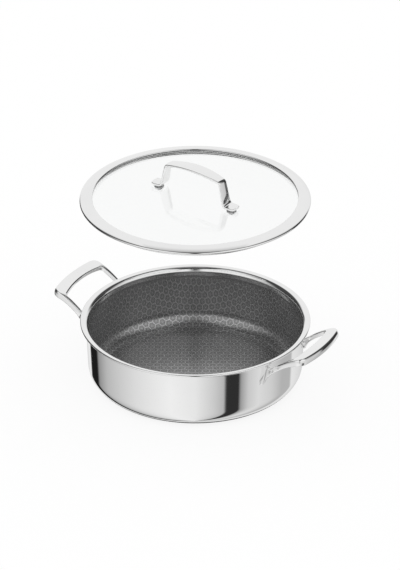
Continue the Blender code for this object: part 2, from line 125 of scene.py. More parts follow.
def new_material(name, **values):
    """Material with a Principled shader, whose uniform values sit on its own sockets."""
    material = bpy.data.materials.new(name)
    material.use_nodes = True
    shader = material.node_tree.nodes["Principled BSDF"]
    for key, value in values.items():
        shader.inputs[key.replace("_", " ")].default_value = value
    return material, material.node_tree, shader


def math_node(tree, operation, *numbers):
    values = dict(enumerate(numbers))
    return add_node(tree, "Math", values, operation=operation).outputs[0]


def vector_node(tree, operation, *vectors):
    """Vector maths, whose first output is a vector and whose second is a number."""
    values = dict(enumerate(vectors))
    return add_node(tree, "VectorMath", values, operation=operation).outputs


def ramp_between(tree, value, low, high, from_value=0.0, to_value=1.0):
    """Smooth step of a value, from one number to another."""
    values = {"Value": value, "From Min": low, "From Max": high,
              "To Min": from_value, "To Max": to_value}
    node = add_node(tree, "MapRange", values, interpolation_type="SMOOTHSTEP")
    return node.outputs["Result"]


def grey(level):
    return level, level, level, 1.0


def mixed_color(tree, share, first, second):
    """A Mix node takes its two colours on sockets 6 and 7, and gives the result on output 2."""
    values = {"Factor": share, 6: first, 7: second}
    return add_node(tree, "Mix", values, data_type="RGBA").outputs[2]


def noise_on_piece(tree, scale, detail, stretch=None):
    """Noise on Object coordinates, finer along the axes whose stretch is above 1."""
    place = add_node(tree, "TexCoord").outputs["Object"]
    if stretch:
        place = add_node(tree, "Mapping", {"Vector": place, "Scale": stretch}).outputs[0]
    values = {"Vector": place, "Scale": scale, "Detail": detail}
    return add_node(tree, "TexNoise", values).outputs["Fac"]


def add_bump(tree, shader, height, strength, distance):
    values = {"Height": height, "Strength": strength, "Distance": distance}
    bump = add_node(tree, "Bump", values)
    tree.links.new(bump.outputs["Normal"], shader.inputs["Normal"])


print("node helpers ready")

# %% [markdown]
# ## Mirror-polished steel
#
# Polished stainless steel is a near-perfect mirror of a very slightly warm grey. The polish changes
# over a hand's width: it is a little duller in places, with faint waves from the buffing wheel.
# Noise on Object coordinates drives both.

# %% Polished steel
DULL_STEEL = grey(0.885)
BRIGHT_STEEL = (0.915, 0.915, 0.912, 1.0)
POLISH = (0.035, 0.065)


def polished_steel(name, grain, wave_height):
    """Steel with buffing marks stretched by the grain, three scale factors along X, Y and Z."""
    material, tree, shader = new_material(name, Metallic=1.0)
    cloud = noise_on_piece(tree, 18.0, 3.0)
    tone = add_node(tree, "ValToRGB", {"Fac": cloud})
    dull, bright = tone.color_ramp.elements
    dull.position, dull.color = 0.3, DULL_STEEL
    bright.position, bright.color = 0.7, BRIGHT_STEEL
    tree.links.new(tone.outputs["Color"], shader.inputs["Base Color"])
    tree.links.new(ramp_between(tree, cloud, 0.35, 0.75, *POLISH), shader.inputs["Roughness"])
    add_bump(tree, shader, noise_on_piece(tree, 60.0, 2.0, grain), 0.25, wave_height)
    return material


steel_turned = polished_steel("steel_turned", grain=(1.0, 1.0, 8.0), wave_height=0.00002)
steel_formed = polished_steel("steel_formed", grain=(3.0, 3.0, 3.0), wave_height=0.00003)
print("made", steel_turned.name, "and", steel_formed.name)

# %% [markdown]
# ## The honeycomb coating
#
# The inside is a dark non-stick coating with raised steel lines between its cells. The pattern is
# rolled onto the flat steel disc before the pot is drawn, so on the wall each cell is narrower and
# taller than on the floor. The liner gets a UV map that lays its surface back out as that flat
# disc, and the cells are regular hexagons there. Six-sided cells come from two grids of rectangles:
# whichever centre is nearer owns the point, and the distance to the cell's edge draws the line.

# %% Honeycomb cells
CELL_WIDTH = 0.0092
CELL_TURN = math.radians(30.0)
ROW_SHIFT = math.sqrt(3) / 2
NEXT_CELL = (0.5, ROW_SHIFT, 0.0)
GRID_RANGE = (0.5, ROW_SHIFT, 1.0), (-0.5, -ROW_SHIFT, 0.0)


def honeycomb_edge(tree):
    """How far a point is from its cell's centre, from 0 to 0.5 at the line."""
    flat_disc = add_node(tree, "UVMap", uv_map="flat_disc").outputs["UV"]
    size = (1 / CELL_WIDTH, 1 / CELL_WIDTH, 1.0)
    values = {"Vector": flat_disc, "Rotation": (0.0, 0.0, -CELL_TURN), "Scale": size}
    cells = add_node(tree, "Mapping", values).outputs[0]
    centred = []
    for shift in ((0.0, 0.0, 0.0), NEXT_CELL):
        moved = vector_node(tree, "SUBTRACT", cells, shift)[0]
        wrapped = vector_node(tree, "WRAP", moved, *GRID_RANGE)[0]
        centred.append((wrapped, vector_node(tree, "LENGTH", wrapped)[1]))
    (first, first_reach), (second, second_reach) = centred
    nearer = math_node(tree, "LESS_THAN", first_reach, second_reach)
    own = add_node(tree, "Mix", {"Factor": nearer, 4: second, 5: first}, data_type="VECTOR")
    folded = vector_node(tree, "ABSOLUTE", own.outputs[1])[0]
    slanted = vector_node(tree, "DOT_PRODUCT", folded, NEXT_CELL)[1]
    sideways = add_node(tree, "SeparateXYZ", {0: folded}).outputs["X"]
    return math_node(tree, "MAXIMUM", sideways, slanted)


print("cells", CELL_WIDTH * 1000, "mm wide on the flat disc")

# %% [markdown]
# The steel shows as a line round each cell and, more faintly, in its heart. The dark between them
# has a fine speckle. The narrow band above the cells is the same coating without them.

# %% Coating
LINE_SHARE = 0.090
HEART_EDGE = 0.22
HEART_CORE = 0.08
HEART_STRENGTH = 0.45
SPECKLE_SCALE = 900.0
COAT_TONES = grey(0.285), grey(0.325)
COAT_RELIEF = 0.00004
BARE_STEEL = (0.520, 0.520, 0.522, 1.0)


def coating(name, with_cells):
    material, tree, shader = new_material(name, Metallic=0.75, Roughness=0.26)
    speckle = ramp_between(tree, noise_on_piece(tree, SPECKLE_SCALE, 2.0), 0.35, 0.7)
    color, height = mixed_color(tree, speckle, *COAT_TONES), speckle
    if with_cells:
        edge = honeycomb_edge(tree)
        line = ramp_between(tree, edge, 0.5 - LINE_SHARE, 0.5 - LINE_SHARE / 2)
        heart = ramp_between(tree, edge, HEART_EDGE, HEART_CORE)
        faint = math_node(tree, "MULTIPLY", heart, HEART_STRENGTH)
        steel_share = math_node(tree, "MAXIMUM", line, faint)
        color, height = mixed_color(tree, steel_share, color, BARE_STEEL), line
    tree.links.new(color, shader.inputs["Base Color"])
    add_bump(tree, shader, height, 0.4, COAT_RELIEF)
    return material


coating_cells = coating("coating_cells", True)
coating_plain = coating("coating_plain", False)
print("made", coating_cells.name, "and", coating_plain.name)

# %% [markdown]
# ## Glass, silicone, aluminium and the other steels
#
# The lid is clear tempered glass, with the faint green-grey that four millimetres of it have. The
# seal and the gaskets are pale silicone. The screws and washers are brushed steel, the pressed edge
# of the lid's ring is coloured dark as painted shade, and the hidden core of the wall is rolled
# aluminium.

# %% The other materials
GLASS_TINTS = (0.955, 0.962, 0.960, 1.0), (0.968, 0.972, 0.971, 1.0)
GLASS_FILM = 0.015
FINE_RELIEF = 0.00005


def clear_glass():
    material, tree, shader = new_material("clear_glass", Transmission_Weight=1.0, IOR=1.46)
    cloud = noise_on_piece(tree, 9.0, 1.0)
    tree.links.new(mixed_color(tree, cloud, *GLASS_TINTS), shader.inputs["Base Color"])
    film = ramp_between(tree, cloud, 0.3, 0.7, 0.0, GLASS_FILM)
    tree.links.new(film, shader.inputs["Roughness"])
    return material


def mottled(name, low, high, scale, stretch=(1, 1, 1), **values):
    """Plain finish whose colour wanders between two tones, with a fine bump of the same grain."""
    material, tree, shader = new_material(name, **values)
    cloud = noise_on_piece(tree, scale, 4.0, stretch)
    tree.links.new(mixed_color(tree, cloud, low, high), shader.inputs["Base Color"])
    add_bump(tree, shader, cloud, 0.3, FINE_RELIEF)
    return material


glass = clear_glass()
pale_silicone = mottled("pale_silicone", grey(0.82), grey(0.90), 120.0, Roughness=0.45)
# Painted shade: dark steel for the inner wall of the ring's edge, where the gap to the glass lies in
# shade.
painted_shade_edge = mottled("painted_shade_edge", grey(0.17), grey(0.21), 25.0, (1, 1, 4),
                       Metallic=1.0, Roughness=0.12)
core_metal = mottled("rolled_aluminium", (0.70, 0.71, 0.72, 1.0), (0.80, 0.81, 0.82, 1.0), 90.0,
                     (1, 8, 1), Metallic=1.0, Roughness=0.35)
screw_steel = mottled("screw_steel", (0.78, 0.78, 0.79, 1.0), (0.88, 0.88, 0.89, 1.0), 300.0,
                      (1, 6, 1), Metallic=1.0, Roughness=0.34)
print("made", glass.name, pale_silicone.name, painted_shade_edge.name, core_metal.name, screw_steel.name)

# %% [markdown]
# ## Turning and lofting
#
# Most pieces are turned: a profile of arcs and straight runs is spun about the pot's axis. The rest
# are bars and straps, whose sections are rings of points, bridged one to the next. Both start from
# edges in a bmesh, so the operators make all the faces.

# %% Shape helpers
TURN_STEPS = 224
SHARP_ANGLE = math.radians(35)
SAME_PLACE = 1e-6


def arc(centre, radius, start, end, steps):
    """Points on an arc, both ends included."""
    angles = [start + (end - start) * i / steps for i in range(steps + 1)]
    return [(centre[0] + radius * math.cos(a), centre[1] + radius * math.sin(a)) for a in angles]


def to_object(bm, name, materials):
    """Merges doubles, turns the faces outwards and links the finished piece."""
    bmesh.ops.remove_doubles(bm, verts=bm.verts, dist=SAME_PLACE)
    bmesh.ops.recalc_face_normals(bm, faces=bm.faces)
    mesh = bpy.data.meshes.new(name)
    bm.to_mesh(mesh)
    bm.free()
    for material in materials:
        mesh.materials.append(material)
    mesh.shade_smooth()
    mesh.set_sharp_from_angle(angle=SHARP_ANGLE)
    piece = bpy.data.objects.new(name, mesh)
    bpy.context.scene.collection.objects.link(piece)
    return piece


def spun(outline, closed, steps=TURN_STEPS):
    """Bmesh of an outline of (radius, height) points, spun a full turn about Z."""
    bm = bmesh.new()
    points = [bm.verts.new((radius, 0.0, height)) for radius, height in outline]
    runs = list(zip(points, points[1:])) + ([(points[-1], points[0])] if closed else [])
    edges = [bm.edges.new(run) for run in runs]
    bmesh.ops.spin(bm, geom=points + edges, cent=(0, 0, 0), axis=(0, 0, 1), angle=math.tau,
                   steps=steps, use_merge=True)
    return bm


def lofted(rings):
    """Bmesh of closed section rings, bridged in order, with flat ends."""
    bm = bmesh.new()
    loops = []
    for ring in rings:
        points = [bm.verts.new(point) for point in ring]
        loops.append([bm.edges.new(pair) for pair in zip(points, points[1:] + points[:1])])
    for near, far in zip(loops, loops[1:]):
        bmesh.ops.bridge_loops(bm, edges=near + far)
    for end in (loops[0], loops[-1]):
        bmesh.ops.contextual_create(bm, geom=end)
    return bm


def dress(piece, body, slot, *nodes):
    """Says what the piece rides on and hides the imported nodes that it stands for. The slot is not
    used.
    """
    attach(piece, body)
    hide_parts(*nodes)
    print(piece.name, len(piece.data.polygons), "faces on", body)
    return piece


print("turned pieces have", TURN_STEPS, "steps")

# %% [markdown]
# ## The pot's wall
#
# One inner face gives the wall its form: a flat floor, a round corner, a wall that leans out a few
# degrees, and a flare that ends in a straight lip. The steel outside follows it at the wall's
# thickness. The liner carries the coating, and its edge is rolled over into the rim's round bead.

# %% The inner face
WALL = 0.0030
DRAFT = math.radians(2.4)
CORNER = 0.0210
FLARE = 0.0070
FLARE_TURN = math.radians(80)
LIP = 0.0030

bead_radius = RIM_RADIUS - WALL / 2
bead_height = POT_HEIGHT - WALL / 2
lip_end = Vector((bead_radius - WALL / 2 * math.cos(FLARE_TURN),
                  bead_height + WALL / 2 * math.sin(FLARE_TURN)))
lip_along = Vector((math.sin(FLARE_TURN), math.cos(FLARE_TURN)))
lip_start = lip_end - LIP * lip_along
flare_centre = lip_start + FLARE * Vector((math.cos(FLARE_TURN), -math.sin(FLARE_TURN)))
wall_out = Vector((math.cos(DRAFT), -math.sin(DRAFT)))
wall_top = flare_centre - FLARE * wall_out


def wall_radius(height, offset=0.0):
    """Radius of the leaning wall at a height, at a distance outside its inner face."""
    return wall_top.x - (wall_top.y - height) * math.tan(DRAFT) + offset / math.cos(DRAFT)


corner_height = WALL + CORNER
wall_foot = Vector((0.0, corner_height - CORNER * math.sin(DRAFT)))
wall_foot.x = wall_radius(wall_foot.y)
corner_centre = wall_foot - CORNER * wall_out
wall_rise = wall_top - wall_foot
print("wall runs up from", round(wall_foot.x, 4), "to", round(wall_top.x, 4))

# %% [markdown]
# The stations below carry a point and the direction out of the steel, so that any layer of the wall
# is one offset away. Short runs next to each arc keep the smooth shading off the flat faces. One
# station on the wall is where the honeycomb ends.

# %% Stations along the wall
EASE = 0.0015
CELLS_TOP = 0.0075
CORNER_STEPS = 18
FLARE_STEPS = 20
FLOOR_SHARES = (0.0, 0.35, 0.7, 0.9)
ease_share = EASE / wall_rise.length
cells_share = 1 - CELLS_TOP / wall_rise.length
WALL_SHARES = (ease_share, 0.25, 0.5, 0.75, cells_share, 1 - ease_share)


def wall_stations(lip_cut=0.0):
    """(point, outward normal) pairs, from the floor's centre to the end of the lip."""
    down = Vector((0.0, -1.0))
    floor_end = corner_centre.x
    stations = [(Vector((share * floor_end, WALL)), down) for share in FLOOR_SHARES]
    stations.append((Vector((floor_end - EASE, WALL)), down))
    for i in range(CORNER_STEPS + 1):
        angle = -math.pi / 2 + (math.pi / 2 - DRAFT) * i / CORNER_STEPS
        normal = Vector((math.cos(angle), math.sin(angle)))
        stations.append((corner_centre + CORNER * normal, normal))
    stations += [(wall_foot + wall_rise * share, wall_out) for share in WALL_SHARES]
    for i in range(FLARE_STEPS + 1):
        lean = DRAFT + (FLARE_TURN - DRAFT) * i / FLARE_STEPS
        normal = Vector((math.cos(lean), -math.sin(lean)))
        stations.append((flare_centre - FLARE * normal, normal))
    stations.append((lip_start + lip_along * EASE / 2, normal))
    stations.append((lip_start + lip_along * (LIP - lip_cut), normal))
    return stations


def offset_run(stations, distance):
    return [point + normal * distance for point, normal in stations]


print("stations", len(wall_stations()))

# %% [markdown]
# ## The pot's outer shell
#
# The shell is the mirror that the studio shows in. It is spun from the same stations as the liner,
# at the far side of the wall, and it keeps the thin sheet that it is: an inside and an outside. The
# core between the two is never seen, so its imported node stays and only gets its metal.

# %% Outer shell
OUTER = 0.0005


def outer_shell():
    stations = wall_stations(lip_cut=GAP)
    outline = offset_run(stations, WALL - OUTER) + offset_run(stations, WALL)[::-1]
    return to_object(spun(outline, False), "outer_shell", [steel_turned])


dress(outer_shell(), "pot", "polished_steel", "pot_outer_shell")
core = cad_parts["pot_aluminium_core"]
core.data.materials.clear()
core.data.materials.append(core_metal)
print(core.name, "is", core_metal.name)

# %% [markdown]
# ## The liner
#
# Near the rim the liner is bare steel. Below it the coating starts at a fine step, which catches
# the light as a thin line all the way round, and the honeycomb starts a few millimetres lower. The
# bead closes the rim over the edges of the other two layers.

# %% Outline of the liner
LINER = 0.0005
COAT_TOP = 0.0042
COAT_STEP = 0.00012
BEAD_STEPS = 16


def liner_outline():
    """The inside, from the floor's centre over the coating's step to the lip, and the rest."""
    stations = wall_stations()
    # The station where the wall's last short run starts is the first one of bare steel.
    run_start = wall_top.y - EASE - SAME_PLACE
    first_bare = next(i for i, (point, _) in enumerate(stations) if point.y > run_start)
    inside = offset_run(stations[:first_bare], COAT_STEP)
    along = wall_rise.normalized()
    line = wall_top - along * COAT_TOP
    inside += [line - along * COAT_STEP + wall_out * COAT_STEP, line]
    inside += [point for point, _ in stations[first_bare:]]
    bead = arc((bead_radius, bead_height), WALL / 2, math.pi - FLARE_TURN, -FLARE_TURN, BEAD_STEPS)
    return inside, [Vector(point) for point in bead[1:]] + offset_run(stations, LINER)[::-1]


def blank_radii(inside):
    """Radius that each point had on the flat disc, whose area the drawn wall keeps."""
    radii, twice_area = [0.0], 0.0
    for near, far in zip(inside, inside[1:]):
        twice_area += (near.x + far.x) * (far - near).length
        radii.append(math.sqrt(twice_area))
    return radii


print("flat disc", round(blank_radii(liner_outline()[0])[-1], 4), "m in radius")

# %% [markdown]
# Each face's height says which finish it has, and each corner's height says how far out it lay on
# the flat disc. On the floor nothing was drawn, so a point there keeps its own place.

# %% Liner
def inner_liner():
    inside, rest = liner_outline()
    bm = spun(inside + rest, False)
    heights, radii = [point.y for point in inside], blank_radii(inside)
    floor_height = WALL - COAT_STEP
    disc = bm.loops.layers.uv.new("flat_disc")
    for face in bm.faces:
        middle = face.calc_center_median()
        wall_here = math.hypot(middle.x, middle.y) < wall_radius(middle.z, COAT_STEP * 2)
        is_inside = wall_here and middle.z > WALL - LINER / 2
        if is_inside and middle.z < wall_top.y - COAT_TOP:
            face.material_index = 1 if middle.z < wall_top.y - CELLS_TOP else 2
        for loop in face.loops:
            x, y, z = loop.vert.co
            drawn = math.hypot(x, y)
            flat = drawn
            if z > floor_height + 10 * SAME_PLACE:
                higher = (r for r, height in zip(radii, heights) if height >= z - SAME_PLACE)
                flat = next(higher, radii[-1])
            scale = flat / drawn if drawn > SAME_PLACE else 0.0
            loop[disc].uv = (x * scale, y * scale)
    return to_object(bm, "inner_liner", [steel_turned, coating_cells, coating_plain])


dress(inner_liner(), "pot", "coated_steel", "pot_inner_liner")

# %% [markdown]
# ## The side handles
#
# Each handle is one forged bar: a wide grip, two thinner legs that dip in a swan's neck, and feet
# that fan out against the wall, where they are welded. The grip is a wedge, thin at its inner side
# and deep at its outer side. In plan the bar is a loop with round corners. Every section is a
# four-sided ring with rounded edges, set between an outer and an inner rail, so the loft follows
# the plan, the neck and the fan at the same time.

# %% Rails of the handle
GRIP_WIDTH = 0.0180
HALF_SPAN = 0.0510
HANDLE_CORNER = 0.0120
INNER_CORNER = 0.0050
LEG_WIDTH = 0.0062
FOOT_WIDTH = 0.0070
FOOT_HEIGHT = 0.0275
FOOT_BELOW_FLARE = 0.0005
FOOT_FLARE = 9.0
LEG_SPACING = 1.3
LEG_STEPS = 36
BEND_STEPS = 14
GRIP_STEPS = 20

grip_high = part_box("side_handle_right")[1]
grip_outer = grip_high.x
grip_inner = grip_outer - GRIP_WIDTH
foot_middle = wall_top.y - FOOT_BELOW_FLARE - FOOT_HEIGHT / 2


def wall_x(y, height):
    """Where the outside of the wall stands along X, at a distance to the side."""
    return math.sqrt((wall_radius(height, WALL) + GAP) ** 2 - y**2)


neck_start = wall_x(HALF_SPAN, foot_middle)


def corner_of(grip_radius, span, corner_radius):
    """Centre of the corner that joins the leg's straight side to the grip's arc."""
    y = span - corner_radius
    return math.sqrt((grip_radius - corner_radius) ** 2 - y**2), y


def handle_rails():
    """(outer, inner) pairs of plan points, from one foot to the middle of the grip."""
    inner_span = HALF_SPAN - LEG_WIDTH
    outer_corner = corner_of(grip_outer, HALF_SPAN, HANDLE_CORNER)
    inner_corner = corner_of(grip_inner, inner_span, INNER_CORNER)
    inner_start = wall_x(inner_span, foot_middle)
    rails = []
    for i in range(LEG_STEPS):
        along = (i / LEG_STEPS) ** LEG_SPACING
        spread = (FOOT_WIDTH - LEG_WIDTH) * (1 - along) ** FOOT_FLARE
        outer_x = neck_start + (outer_corner[0] - neck_start) * along
        inner_x = inner_start + (inner_corner[0] - inner_start) * along
        rails.append(((outer_x, HALF_SPAN + spread / 2), (inner_x, inner_span - spread / 2)))
    outer_end = math.atan2(outer_corner[1], outer_corner[0])
    inner_end = math.atan2(inner_corner[1], inner_corner[0])
    rails += zip(arc(outer_corner, HANDLE_CORNER, math.pi / 2, outer_end, BEND_STEPS),
                 arc(inner_corner, INNER_CORNER, math.pi / 2, inner_end, BEND_STEPS))
    grips = zip(arc((0, 0), grip_outer, outer_end, 0, GRIP_STEPS),
                arc((0, 0), grip_inner, inner_end, 0, GRIP_STEPS))
    return rails + list(grips)[1:]


print("handle reaches", round(grip_outer, 4), "with", len(handle_rails()), "stations a side")

# %% [markdown]
# The neck is one power curve from the foot's middle up to the grip. The foot grows out of it by two
# much steeper ones: its lower half flares a little way out from the wall, and its upper half rises
# right at the wall and leans in.

# %% Depth of the bar
GRIP_DEEP = 0.0100
GRIP_THIN = 0.0035
LEG_HEIGHT = 0.0080
LEG_CURVE = 1.5
GRIP_FADE = 2.0
FOOT_RISE = 22.0

neck_end = grip_inner + GRIP_WIDTH / 2
grip_middle = grip_high.z - GRIP_DEEP / 2
foot_half = (FOOT_HEIGHT - LEG_HEIGHT) / 2


def neck(x):
    """How far along the neck a point is, from 0 at the wall to 1 at the grip."""
    return min(max((x - neck_start) / (neck_end - neck_start), 0.0), 1.0)


def handle_depth(x, share=1.0):
    """Height of the bar, from its inner side (share 0) to its outer side (share 1)."""
    along = neck(x)
    grip = GRIP_THIN + (GRIP_DEEP - GRIP_THIN) * share
    bar = LEG_HEIGHT + (grip - LEG_HEIGHT) * along**GRIP_FADE
    return bar + foot_half * ((1 - along) ** FOOT_RISE + (1 - along) ** FOOT_FLARE)


def handle_top(x):
    """Height of the bar's upper face, which rises steeply where it meets the wall."""
    along = neck(x)
    middle = grip_middle + (foot_middle - grip_middle) * (1 - along) ** LEG_CURVE
    bar = LEG_HEIGHT + (GRIP_DEEP - LEG_HEIGHT) * along**GRIP_FADE
    return middle + bar / 2 + foot_half * (1 - along) ** FOOT_RISE


print("foot is", round(handle_depth(neck_start) * 1000, 1), "mm tall")

# %% [markdown]
# Each edge of a section is a quarter ellipse: nearly round on the legs, and on the grip wide and
# soft along the outer top, where a hand closes over it. The first and last rings are pushed against
# the wall's leaning round face, one weld gap away from it.

# %% Sections and handles
FOOT_FAN = 0.0055
FOOT_LEAN = 0.0055
FOOT_SWEEP = 3.0
EDGE_STEPS = 8
LEG_EDGE = Vector((0.0026, 0.0026))
# Each corner of the section: outer or inner side, top or bottom, and its radii on the grip.
SECTION_CORNERS = (
    (1, 1, Vector((0.0040, 0.0066))),
    (0, 1, Vector((0.0012, 0.0012))),
    (0, -1, Vector((0.0014, 0.0014))),
    (1, -1, Vector((0.0022, 0.0022))),
)


def handle_section(outer, inner, side):
    """Ring of points round the bar between two plan points, fanned out below and leaned above."""
    outer, inner = Vector(outer), Vector(inner)
    across = (outer - inner).length
    along = neck(outer.x)
    fan = FOOT_FAN * (1 - along) ** FOOT_SWEEP
    lean = FOOT_LEAN * (1 - along) ** (FOOT_RISE / 2)
    ring = []
    for quarter, (end, top, grip_edge) in enumerate(SECTION_CORNERS):
        wide, tall = LEG_EDGE.lerp(grip_edge, along**2)
        for i in range(EDGE_STEPS + 1):
            angle = math.pi / 2 * (quarter + i / EDGE_STEPS)
            reach = across - wide if end else wide
            share = (reach + wide * math.cos(angle)) / across
            plan = inner.lerp(outer, share)
            drop = tall * (1 - abs(math.sin(angle)))
            if top < 0:
                drop = handle_depth(plan.x, share) - drop
            plan.y += fan if top < 0 else -lean
            ring.append(Vector((plan.x, plan.y * side, handle_top(plan.x) - drop)))
    return ring


def against_wall(ring):
    return [Vector((wall_x(point.y, point.z), point.y, point.z)) for point in ring]


def side_handle(name, turn):
    half = handle_rails()
    rings = [handle_section(outer, inner, 1) for outer, inner in half]
    rings += [handle_section(outer, inner, -1) for outer, inner in half[-2::-1]]
    rings[0], rings[-1] = against_wall(rings[0]), against_wall(rings[-1])
    bm = lofted(rings)
    bmesh.ops.rotate(bm, verts=bm.verts, cent=(0, 0, 0), matrix=Matrix.Rotation(turn, 3, "Z"))
    return to_object(bm, name, [steel_formed])


dress(side_handle("handle_right", 0.0), "pot", "polished_steel", "side_handle_right")
dress(side_handle("handle_left", math.pi), "pot", "polished_steel", "side_handle_left")

# %% [markdown]
# ## The lid's glass
#
# The pane is a shallow dome, ground round at its edge, with two holes for the handle's screws. The
# dome is spun, and the holes are cut by two short pins that lean with the glass. The lid is loose,
# and the photograph shows it turned a few degrees on the pot, so the holes turn with it.

# %% Sizes of the lid
SHEET = 0.0007
SKIRT_CLEARANCE = 0.0007
SEAL = 0.0009
GLASS = 0.0040
STRAP_SPAN = 0.0430
LEG_SPLAY = 0.0070
FOOT_LENGTH = 0.0160
LID_TURN = math.radians(-6)

glass_low, glass_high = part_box("lid_glass")
skirt = wall_top.x - SKIRT_CLEARANCE - SHEET / 2
seal_outer = skirt - SHEET / 2 - GAP
glass_radius = seal_outer - SEAL - GAP
glass_edge = glass_low.z + GLASS
glass_dome = glass_high.z - glass_edge
lid_turn = Matrix.Rotation(LID_TURN, 4, "Z")
heel_x = STRAP_SPAN + LEG_SPLAY
foot_end = heel_x + FOOT_LENGTH
screw_x = heel_x + FOOT_LENGTH / 2
screw_tilt = math.atan(2 * glass_dome * screw_x / glass_radius**2)


def glass_top(radius):
    return glass_edge + glass_dome * (1 - (radius / glass_radius) ** 2)


def on_glass(side):
    """Place on the glass's upper face, square to it, under one foot of the handle."""
    stood = Matrix.Translation((side * screw_x, 0, glass_top(screw_x)))
    return lid_turn @ stood @ Matrix.Rotation(side * screw_tilt, 4, "Y")


print("glass radius", round(glass_radius, 4), "dome", round(glass_dome, 4))

# %% Glass pane
SCREW = 0.0020
BORE_CLEARANCE = 0.0004
HOLE = SCREW + 2 * BORE_CLEARANCE
GRIND = 0.0012
GRIND_STEPS = 6
GLASS_RINGS = 30
PIN_STEPS = 48


def glass_pane():
    radii = [(glass_radius - GRIND) * i / GLASS_RINGS for i in range(GLASS_RINGS + 1)]
    top = [(radius, glass_top(radius)) for radius in radii]
    bottom = [(radius, height - GLASS) for radius, height in top]
    edge_top, edge_bottom = top[-1][1] - GRIND, bottom[-1][1] + GRIND
    edge = arc((glass_radius - GRIND, edge_top), GRIND, math.pi / 2, 0, GRIND_STEPS)[1:]
    edge += arc((glass_radius - GRIND, edge_bottom), GRIND, 0, -math.pi / 2, GRIND_STEPS)[:-1]
    return to_object(spun(top + edge + bottom[::-1], False), "glass_pane", [glass])


def drilled(piece, pins):
    """Cuts the pins out of a piece, and removes them."""
    for pin in pins:
        cut = piece.modifiers.new("hole", "BOOLEAN")
        cut.operation, cut.solver, cut.object = "DIFFERENCE", "EXACT", pin
    bpy.context.view_layer.update()
    depsgraph = bpy.context.evaluated_depsgraph_get()
    mesh = bpy.data.meshes.new_from_object(piece.evaluated_get(depsgraph))
    piece.modifiers.clear()
    piece.data = mesh
    for pin in pins:
        bpy.data.objects.remove(pin)
    return piece


def pin_at(place, radius, bottom, top):
    """Round pin between two heights, stood in its place."""
    bm = bmesh.new()
    middle = Matrix.Translation((0, 0, (bottom + top) / 2))
    bmesh.ops.create_cone(bm, cap_ends=True, segments=PIN_STEPS, radius1=radius, radius2=radius,
                          depth=top - bottom, matrix=place @ middle)
    return to_object(bm, "pin", [])


pane = drilled(glass_pane(), [pin_at(on_glass(side), HOLE, -2 * GLASS, GLASS) for side in (-1, 1)])
dress(pane, "lid", "clear_glass", "lid_glass")

# %% [markdown]
# ## The lid's ring and its seal
#
# The ring is one strip of thin sheet, rolled all the way round: its inner edge turns down onto the
# glass, a band slopes outwards with a slight crown, and an upright edge with two bends rests on the
# pot's rim. From there a skirt with a hem drops inside the rim, and a short ledge holds the glass
# from below. The outline is the sheet's centre line, thickened to both sides. The wall of the inner
# edge is coloured dark as painted shade, which draws the thin dark line round the glass.

# %% Ring outline
RING_OVERLAP = 0.00425
LID_INSET = 0.0013
GLASS_ABOVE_BASE = 0.0024
INNER_BEND = 0.0010
DARK_BAND = 0.0014
BAND_SLOPE = math.radians(23)
BAND_STEPS = 20
EDGE_BEND = 0.0018
BASE_BEND = 0.0009
FOLD = 0.0008
HEM = 0.0018
HEM_DROP = 0.0019
TURN_IN = 0.0004
LEDGE_SETBACK = 0.0025
SHARPEST_MITRE = 0.5

lid_radius = RIM_RADIUS - LID_INSET
lid_base = glass_edge - GLASS_ABOVE_BASE
ring_inner = glass_radius - RING_OVERLAP
band_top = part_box("lid_rim_ring")[1].z - SHEET / 2
dark_low = band_top - INNER_BEND - DARK_BAND
dark_high = band_top - INNER_BEND * 0.6


def thickened(path, thickness):
    """Closed outline of a sheet whose centre line is the path."""
    left, right = [], []
    for i, point in enumerate(path):
        here = Vector(point)
        into = (here - Vector(path[i - 1])).normalized() if i else None
        out = (Vector(path[i + 1]) - here).normalized() if i < len(path) - 1 else into
        into = into or out
        normal_in = Vector((-into.y, into.x))
        normal = (normal_in + Vector((-out.y, out.x))).normalized()
        reach = thickness / 2 / max(normal.dot(normal_in), SHARPEST_MITRE)
        left.append(here + normal * reach)
        right.append(here - normal * reach)
    return left + right[::-1]


def ring_path():
    """Centre line of the sheet, from its inner edge over the band to the ledge under the glass."""
    quarter = math.pi / 2
    path = [(ring_inner, glass_top(ring_inner) + GAP), (ring_inner, dark_low)]
    inner_bend = (ring_inner + INNER_BEND, band_top - INNER_BEND)
    path += arc(inner_bend, INNER_BEND, 2 * quarter, quarter, steps=10)
    rim = lid_radius - SHEET / 2 - EDGE_BEND
    bend_end = Vector((math.sin(BAND_SLOPE), math.cos(BAND_SLOPE))) * EDGE_BEND
    start = Vector(path[-1])
    run = rim + bend_end.x - start.x
    drop = run * math.tan(BAND_SLOPE) / 2
    for i in range(1, BAND_STEPS):
        share = i / BAND_STEPS
        path.append((start.x + run * share, start.y - drop * share**2))
    edge_bend = Vector((rim, start.y - drop - bend_end.y))
    path += arc(edge_bend, EDGE_BEND, quarter - BAND_SLOPE, 0, steps=8)
    base_bend = (lid_radius - SHEET / 2 - BASE_BEND, lid_base + SHEET / 2 + BASE_BEND)
    path += arc(base_bend, BASE_BEND, 0, -quarter, steps=8)
    path += arc((skirt + FOLD, lid_base + SHEET / 2 - FOLD), FOLD, quarter, 2 * quarter, steps=5)
    ledge = glass_top(skirt - HEM) - GLASS - 2 * GAP - SEAL - SHEET / 2
    path += arc((skirt - HEM / 2, ledge - HEM_DROP), HEM / 2, 0, -2 * quarter, steps=10)
    path += arc((skirt - HEM - TURN_IN, ledge - TURN_IN), TURN_IN, 0, quarter, steps=4)
    return path + [(ring_inner + LEDGE_SETBACK, ledge)]


